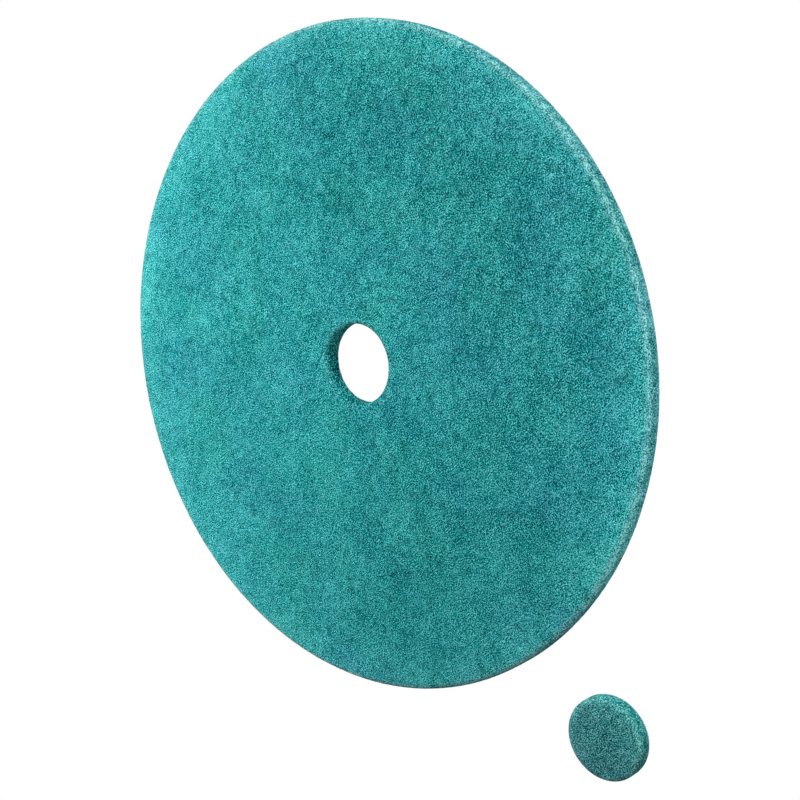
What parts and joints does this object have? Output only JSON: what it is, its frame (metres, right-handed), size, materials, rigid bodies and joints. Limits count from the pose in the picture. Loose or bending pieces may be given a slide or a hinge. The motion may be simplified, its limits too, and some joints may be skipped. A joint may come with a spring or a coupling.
{
  "type": "polishing pad",
  "caption": "Flat round nonwoven polishing pad with rounded rims, a die-cut centre hole, and the matching round plug that the cut frees, lying beside it.",
  "frame": {"origin": "the pad's centre: on its axis and at half its thickness", "axes": "+Z along the pad's axis and normal to its upper face; the plug lies on the -Y side"},
  "size_m": [0.6857, 0.827, 0.02],
  "materials": {
    "pad_web": "matt open nonwoven fibre web, teal",
    "plug_web": "matt open nonwoven fibre web, teal"
  },
  "bodies": {
    "pad": {"pad_disc": "pad_web"},
    "plug": {"centre_plug": "plug_web"}
  },
  "joints": [
    {"name": "plug_turn", "type": "hinge", "parent": "pad", "child": "plug", "pos_m": [0, -0.2217, 0], "axis": [-1, 0, 0], "range_deg": [0, 180]}
  ]
}
